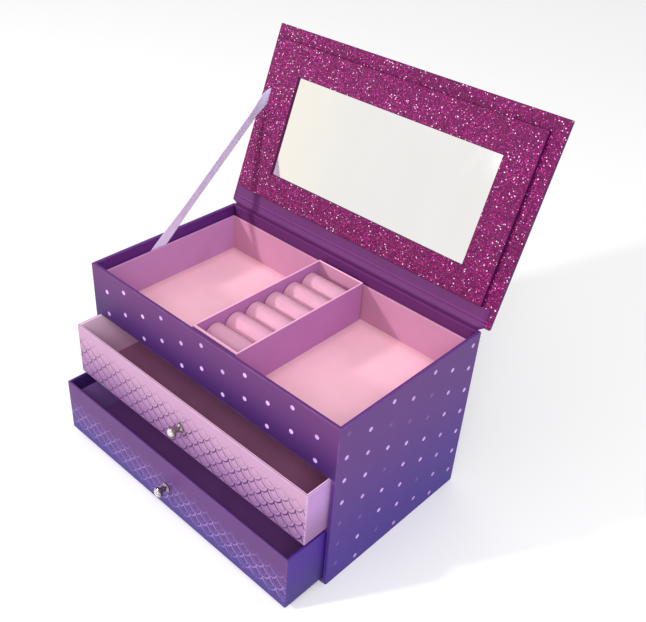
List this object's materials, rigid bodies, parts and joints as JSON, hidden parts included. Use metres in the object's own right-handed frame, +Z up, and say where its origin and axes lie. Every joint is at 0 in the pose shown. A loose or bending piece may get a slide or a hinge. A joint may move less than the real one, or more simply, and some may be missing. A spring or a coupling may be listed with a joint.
{
  "type": "jewellery box",
  "caption": "Paper-wrapped jewellery box with a mirror in its lift-up lid, a ribbon stay, a lined tray with ring rolls, and pull-out drawers with crystal knobs.",
  "frame": {"origin": "middle of the carcass's underside", "axes": "+X to the right as seen from the drawer fronts, +Y from the drawers to the hinge side, +Z up"},
  "size_m": [0.258, 0.2464, 0.281],
  "materials": {
    "carcass_paper": "purple printed paper with small light dots, over greyboard",
    "tray_paper": "pink paper over card",
    "roll_suede": "smooth pink suede cloth over foam",
    "ribbon_satin": "lilac satin ribbon",
    "hinge_paper": "plain purple paper",
    "glitter_paper": "magenta glitter paper over greyboard",
    "mirror_glass": "silvered glass",
    "crystal": "clear cut crystal",
    "steel": "zinc-plated steel",
    "knob_chrome": "bright chrome",
    "upper_drawer_paper": "lilac printed paper with fine dark lines, over greyboard",
    "lower_drawer_paper": "purple printed paper with fine light lines, over greyboard",
    "upper_lining_paper": "mauve lining paper",
    "lower_lining_paper": "plum lining paper"
  },
  "bodies": {
    "carcass": {"base_board": "carcass_paper", "left_side_board": "carcass_paper", "right_side_board": "carcass_paper", "back_board": "carcass_paper", "front_apron": "carcass_paper", "drawer_shelf": "carcass_paper", "tray_board": "carcass_paper", "tray_liner_floor": "tray_paper", "tray_liner_left": "tray_paper", "tray_liner_right": "tray_paper", "tray_liner_front": "tray_paper", "tray_liner_back": "tray_paper", "ring_box_left": "tray_paper", "ring_box_right": "tray_paper", "ring_box_front": "tray_paper", "ring_box_back": "tray_paper", "ring_roll_1": "roll_suede", "ring_roll_2": "roll_suede", "ring_roll_3": "roll_suede", "ring_roll_4": "roll_suede", "ring_roll_5": "roll_suede", "ring_roll_6": "roll_suede", "stay_ribbon": "ribbon_satin", "stay_ribbon_lower_tail": "ribbon_satin", "hinge_fold": "hinge_paper"},
    "lid": {"lid_board": "glitter_paper", "mirror_frame": "glitter_paper", "mirror": "mirror_glass", "hinge_strip": "hinge_paper", "stay_ribbon_upper_tail": "ribbon_satin"},
    "upper_drawer": {"upper_drawer_front": "upper_drawer_paper", "upper_drawer_back": "upper_drawer_paper", "upper_drawer_left": "upper_drawer_paper", "upper_drawer_right": "upper_drawer_paper", "upper_drawer_floor": "upper_drawer_paper", "upper_drawer_lining": "upper_lining_paper", "upper_knob": "knob_chrome", "upper_knob_crystal": "crystal", "upper_knob_screw": "steel", "upper_knob_washer": "steel"},
    "lower_drawer": {"lower_drawer_front": "lower_drawer_paper", "lower_drawer_back": "lower_drawer_paper", "lower_drawer_left": "lower_drawer_paper", "lower_drawer_right": "lower_drawer_paper", "lower_drawer_floor": "lower_drawer_paper", "lower_drawer_lining": "lower_lining_paper", "lower_knob": "knob_chrome", "lower_knob_crystal": "crystal", "lower_knob_screw": "steel", "lower_knob_washer": "steel"}
  },
  "joints": [
    {"name": "lid_hinge", "type": "hinge", "parent": "carcass", "child": "lid", "pos_m": [0, 0.0737, 0.1426], "axis": [1, 0, 0], "range_deg": [0, 110.6], "deforming": ["stay_ribbon", "hinge_fold"]},
    {"name": "upper_drawer_slide", "type": "slide", "parent": "carcass", "child": "upper_drawer", "axis": [0, -1, 0], "range_m": [-0.0205, 0.0795]},
    {"name": "lower_drawer_slide", "type": "slide", "parent": "carcass", "child": "lower_drawer", "axis": [0, -1, 0], "range_m": [-0.035, 0.065]}
  ]
}
